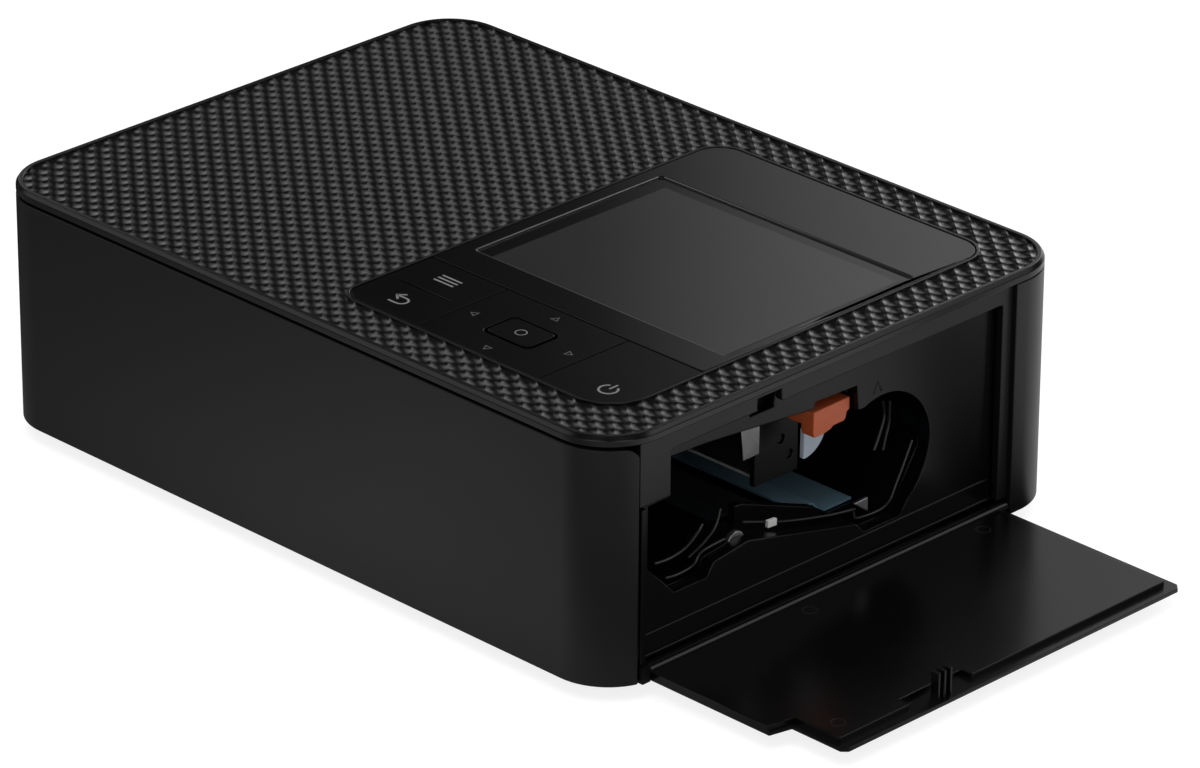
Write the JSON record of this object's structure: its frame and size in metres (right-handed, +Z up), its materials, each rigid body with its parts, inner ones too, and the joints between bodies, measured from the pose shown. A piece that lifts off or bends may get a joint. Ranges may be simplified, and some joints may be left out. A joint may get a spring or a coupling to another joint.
{
  "type": "compact photo printer",
  "caption": "Low rounded-box photo printer with a textured lid, inset control panel, fold-down front cover and an open side door on its two-lobed ink bay.",
  "frame": {"origin": "middle of the outline, open side door included, at table height", "axes": "+X along the long front towards the ink-cassette door, +Y to the back, +Z up"},
  "size_m": [0.2294, 0.133, 0.0576],
  "materials": {
    "lid_plastic": "fine satin",
    "cover_plastic": "smooth satin",
    "shell_plastic": "fine satin",
    "inner_plastic": "matte",
    "frame_plastic": "satin",
    "door_plastic": "satin",
    "cradle_plastic": "satin",
    "head_plastic": "satin",
    "panel_gloss": "gloss",
    "screen_gloss": "gloss",
    "key_plastic": "satin",
    "orange_plastic": "gloss",
    "pale_plastic": "gloss",
    "white_plastic": "moulded",
    "ceramic_white": "glazed",
    "foot_rubber": "matte",
    "roller_rubber": "ground",
    "steel": "zinc plated",
    "bright_steel": "bright",
    "blue_steel": "blued",
    "aluminium": "extruded",
    "bush_brass": "turned",
    "board": "solder mask",
    "flex": "polyimide"
  },
  "bodies": {
    "housing": {"top_cover": "lid_plastic", "main_casing": "shell_plastic", "base_pan": "inner_plastic", "rubber_feet": "foot_rubber", "base_screws": "steel", "front_fascia": "inner_plastic", "bay_frame": "frame_plastic", "panel_window": "panel_gloss", "lcd_module": "screen_gloss", "panel_chassis": "inner_plastic", "key_board": "board", "dome_switches": "steel", "lcd_flex_cable": "flex", "cassette_cradle": "cradle_plastic", "paper_guide_upper": "blue_steel", "paper_guide_lower": "inner_plastic", "chassis_left_plate": "steel", "chassis_right_plate": "steel", "tie_rods": "steel", "head_pivot_shaft": "steel", "head_springs": "steel", "lever_spring": "steel", "bearing_bushes": "bush_brass", "gear_posts": "steel", "drive_motor": "steel", "main_board": "board", "dc_jack": "inner_plastic", "usb_port": "steel", "card_slot": "steel", "board_screws": "steel"},
    "front_door": {"front_cover": "cover_plastic"},
    "ink_door": {"cassette_door": "door_plastic"},
    "menu_key": {"menu_back_key": "key_plastic"},
    "dpad_ring": {"dpad_carrier": "inner_plastic"},
    "dpad": {"direction_plate": "key_plastic"},
    "ok": {"ok_button": "key_plastic"},
    "power": {"power_key": "key_plastic"},
    "head": {"thermal_head_bar": "ceramic_white", "head_heat_sink": "aluminium", "head_carrier": "head_plastic", "head_arm": "bright_steel", "head_flex_cable": "flex"},
    "eject": {"eject_lever": "orange_plastic", "lever_flag": "pale_plastic"},
    "supply": {"supply_spindle": "white_plastic"},
    "takeup": {"takeup_spindle": "white_plastic", "takeup_gear": "white_plastic"},
    "platen": {"platen_roller": "roller_rubber", "platen_shaft": "steel", "platen_gear": "white_plastic"},
    "capstan": {"capstan_roller": "steel", "capstan_gear": "white_plastic"},
    "pinch": {"pinch_roller": "steel"},
    "pickup": {"pickup_roller": "roller_rubber", "pickup_gear": "white_plastic"},
    "idler": {"idler_gear": "white_plastic"},
    "reduction": {"reduction_gear": "white_plastic"},
    "rotor": {"motor_pinion": "bush_brass"}
  },
  "joints": [
    {"name": "front_cover_hinge", "type": "hinge", "parent": "housing", "child": "front_door", "pos_m": [-0.02355, -0.0625, 0.0049], "axis": [1, 0, 0], "range_deg": [0, 90]},
    {"name": "ink_door_hinge", "type": "hinge", "parent": "housing", "child": "ink_door", "pos_m": [0.06605, 0, 0.0049], "axis": [0, -1, 0], "range_deg": [0, 90]},
    {"name": "menu_key_rock", "type": "hinge", "parent": "housing", "child": "menu_key", "pos_m": [-0.01055, -0.04075, 0.05658], "axis": [1, 0, 0], "range_deg": [-1.5, 1.5], "stiffness_Nm_per_rad": 0.3},
    {"name": "dpad_tilt_x", "type": "hinge", "parent": "housing", "child": "dpad_ring", "pos_m": [0.01745, -0.0411, 0.0558], "axis": [1, 0, 0], "range_deg": [-0.7, 0.7], "stiffness_Nm_per_rad": 0.4},
    {"name": "dpad_tilt_y", "type": "hinge", "parent": "dpad_ring", "child": "dpad", "pos_m": [0.01745, -0.0411, 0.0558], "axis": [0, 1, 0], "range_deg": [-0.7, 0.7], "stiffness_Nm_per_rad": 0.4},
    {"name": "ok_press", "type": "slide", "parent": "housing", "child": "ok", "axis": [0, 0, -1], "range_m": [0, 0.0003], "stiffness_N_per_m": 2500},
    {"name": "power_press", "type": "slide", "parent": "housing", "child": "power", "axis": [0, 0, -1], "range_m": [0, 0.0003], "stiffness_N_per_m": 2500},
    {"name": "head_lower", "type": "hinge", "parent": "housing", "child": "head", "pos_m": [-0.00355, -0.044, 0.0499], "axis": [-1, 0, 0], "range_deg": [0, 8.4], "stiffness_Nm_per_rad": 0.15, "springref_deg": -34.38},
    {"name": "eject_lift", "type": "slide", "parent": "housing", "child": "eject", "axis": [0, 0, 1], "range_m": [0, 0.0022], "stiffness_N_per_m": 300, "springref_m": -0.002, "deforming": ["lever_spring"]},
    {"name": "platen_spin", "type": "hinge", "parent": "housing", "child": "platen", "pos_m": [-0.00355, -0.00607, 0.0127], "axis": [1, 0, 0], "continuous": true},
    {"name": "takeup_spin", "type": "hinge", "parent": "housing", "child": "takeup", "pos_m": [-0.00355, 0.0141, 0.0273], "axis": [1, 0, 0], "continuous": true},
    {"name": "capstan_spin", "type": "hinge", "parent": "housing", "child": "capstan", "pos_m": [-0.00355, 0.03521, 0.013], "axis": [1, 0, 0], "continuous": true},
    {"name": "reduction_spin", "type": "hinge", "parent": "housing", "child": "reduction", "pos_m": [-0.00355, 0.03488, 0.0393], "axis": [1, 0, 0], "continuous": true},
    {"name": "rotor_spin", "type": "hinge", "parent": "housing", "child": "rotor", "pos_m": [-0.00355, 0.05086, 0.02812], "axis": [1, 0, 0], "continuous": true},
    {"name": "idler_spin", "type": "hinge", "parent": "housing", "child": "idler", "pos_m": [-0.00355, -0.01833, 0.01367], "axis": [1, 0, 0], "continuous": true},
    {"name": "pickup_spin", "type": "hinge", "parent": "housing", "child": "pickup", "pos_m": [-0.00355, -0.03061, 0.01442], "axis": [1, 0, 0], "continuous": true},
    {"name": "supply_spin", "type": "hinge", "parent": "housing", "child": "supply", "pos_m": [-0.00355, -0.038, 0.035], "axis": [1, 0, 0], "continuous": true},
    {"name": "pinch_spin", "type": "hinge", "parent": "housing", "child": "pinch", "pos_m": [-0.00355, 0.03521, 0.01915], "axis": [1, 0, 0], "continuous": true}
  ],
  "couplings": [
    {"joint": "takeup_spin", "follows": "platen_spin", "ratio": -0.31746},
    {"joint": "capstan_spin", "follows": "platen_spin", "ratio": 0.90909},
    {"joint": "reduction_spin", "follows": "platen_spin", "ratio": 1.1765},
    {"joint": "rotor_spin", "follows": "platen_spin", "ratio": -3.3218},
    {"joint": "idler_spin", "follows": "platen_spin", "ratio": -0.95238},
    {"joint": "pickup_spin", "follows": "platen_spin", "ratio": 1}
  ]
}
